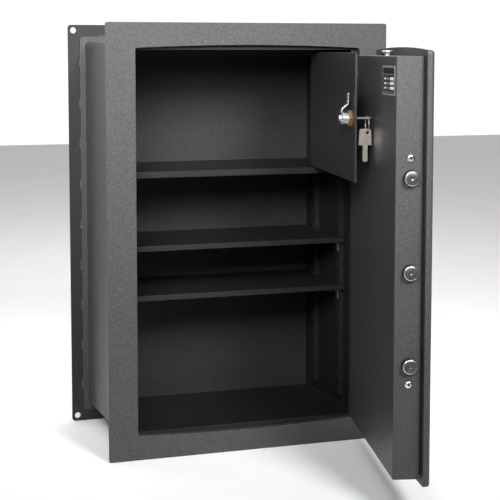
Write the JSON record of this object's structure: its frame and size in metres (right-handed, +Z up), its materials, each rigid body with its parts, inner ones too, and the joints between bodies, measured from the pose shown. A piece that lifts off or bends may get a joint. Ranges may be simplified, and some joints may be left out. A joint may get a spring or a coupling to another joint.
{
  "type": "wall safe",
  "caption": "Flanged steel wall safe, main door open on outside hinges, with shelves, a lockable inner compartment, sliding bolts and a rear anchor plate.",
  "frame": {"origin": "centre of the rear plate's back face, which is the centre of the four anchor holes", "axes": "+Y into the wall, so the front flange faces -Y; +Z up"},
  "size_m": [0.45, 0.6478, 0.66],
  "materials": {
    "powder_coat": "fine textured dark grey powder coat",
    "dark_steel": "matt",
    "zinc": "zinc plated",
    "chrome": "polished",
    "brass": "turned",
    "nickel": "satin nickel",
    "label": "satin print"
  },
  "bodies": {
    "cabinet": {"front_frame": "powder_coat", "door_stop_frame": "powder_coat", "lock_jamb": "powder_coat", "body_shell": "powder_coat", "rear_plate": "powder_coat", "weld_beads": "powder_coat", "shelf_clips": "zinc", "middle_shelf": "powder_coat", "lower_shelf": "powder_coat", "shelf_rail_left_front": "powder_coat", "shelf_rail_left_rear": "powder_coat", "shelf_rail_right_front": "powder_coat", "shelf_rail_right_rear": "powder_coat", "treasury_floor": "powder_coat", "treasury_side_panel": "powder_coat", "treasury_catch_strip": "powder_coat", "treasury_header": "powder_coat", "hinge_fixed_knuckles": "powder_coat", "hinge_pins": "zinc", "treasury_hinge_frame_leaves": "zinc", "treasury_hinge_pins": "zinc"},
    "main_door": {"door_panel": "powder_coat", "door_spacer": "dark_steel", "door_cover": "powder_coat", "cover_screws": "zinc", "cover_brackets": "zinc", "label_plate": "label", "hinge_moving_knuckles": "powder_coat", "bolt_guides": "zinc", "end_rod_guides": "zinc", "lock_case": "powder_coat", "escutcheon": "chrome", "escutcheon_screws": "zinc", "keyhole_rivet": "zinc"},
    "keyhole_flap": {"keyhole_cover": "chrome"},
    "handle": {"handle_knob": "chrome", "handle_spindle": "zinc", "drive_cam": "zinc"},
    "boltwork": {"bolt_carrier": "zinc", "bolt_upper": "chrome", "bolt_middle": "chrome", "bolt_lower": "chrome"},
    "top_rod": {"end_rod_top": "chrome"},
    "bottom_rod": {"end_rod_bottom": "chrome"},
    "inner_door": {"treasury_door": "powder_coat", "treasury_hinge_door_leaves": "zinc", "treasury_lock_barrel": "zinc", "treasury_lock_nut": "brass"},
    "inner_lock": {"treasury_lock_plug": "zinc", "treasury_lock_cam": "zinc", "treasury_cam_screw": "zinc", "turned_key": "nickel"},
    "ring": {"key_ring": "nickel"},
    "spare_key": {"spare_key": "nickel"}
  },
  "joints": [
    {"name": "main_door_hinge", "type": "hinge", "parent": "cabinet", "child": "main_door", "pos_m": [0.214, -0.2705, 0], "axis": [0, 0, 1], "range_deg": [-76.6, 0]},
    {"name": "inner_door_hinge", "type": "hinge", "parent": "cabinet", "child": "inner_door", "pos_m": [0.137, -0.1797, 0.19475], "axis": [0, 0, 1], "range_deg": [-79.9, 0]},
    {"name": "handle_turn", "type": "hinge", "parent": "main_door", "child": "handle", "pos_m": [0.1483, -0.5139, -0.04], "axis": [0.9728, -0.2317, 0], "range_deg": [0, 90]},
    {"name": "bolt_slide", "type": "slide", "parent": "main_door", "child": "boltwork", "axis": [-0.2317, -0.9728, 0], "range_m": [0, 0.016]},
    {"name": "top_rod_slide", "type": "slide", "parent": "main_door", "child": "top_rod", "axis": [0, 0, 1], "range_m": [0, 0.0065]},
    {"name": "bottom_rod_slide", "type": "slide", "parent": "main_door", "child": "bottom_rod", "axis": [0, 0, -1], "range_m": [0, 0.0065]},
    {"name": "keyhole_flap_swing", "type": "hinge", "parent": "main_door", "child": "keyhole_flap", "pos_m": [0.15219, -0.51483, 0.049], "axis": [0.9728, -0.2317, 0], "range_deg": [-100, 100]},
    {"name": "inner_lock_turn", "type": "hinge", "parent": "inner_door", "child": "inner_lock", "pos_m": [0.08392, -0.46227, 0.1935], "axis": [0.9845, -0.1754, 0], "range_deg": [0, 90]},
    {"name": "ring_slide_round", "type": "hinge", "parent": "inner_lock", "child": "ring", "pos_m": [0.10116, -0.47042, 0.1854], "axis": [0.9845, -0.1754, 0], "range_deg": [-25, 25]},
    {"name": "spare_key_swing", "type": "hinge", "parent": "ring", "child": "spare_key", "pos_m": [0.10116, -0.47042, 0.1747], "axis": [-0.1754, -0.9845, 0], "range_deg": [-3, 6]}
  ],
  "couplings": [
    {"joint": "inner_door_hinge", "follows": "main_door_hinge", "ratio": 1.0431},
    {"joint": "handle_turn", "follows": "bolt_slide", "rad_per_m": 98.174},
    {"joint": "top_rod_slide", "follows": "bolt_slide", "ratio": 0.40625},
    {"joint": "bottom_rod_slide", "follows": "bolt_slide", "ratio": 0.40625}
  ]
}
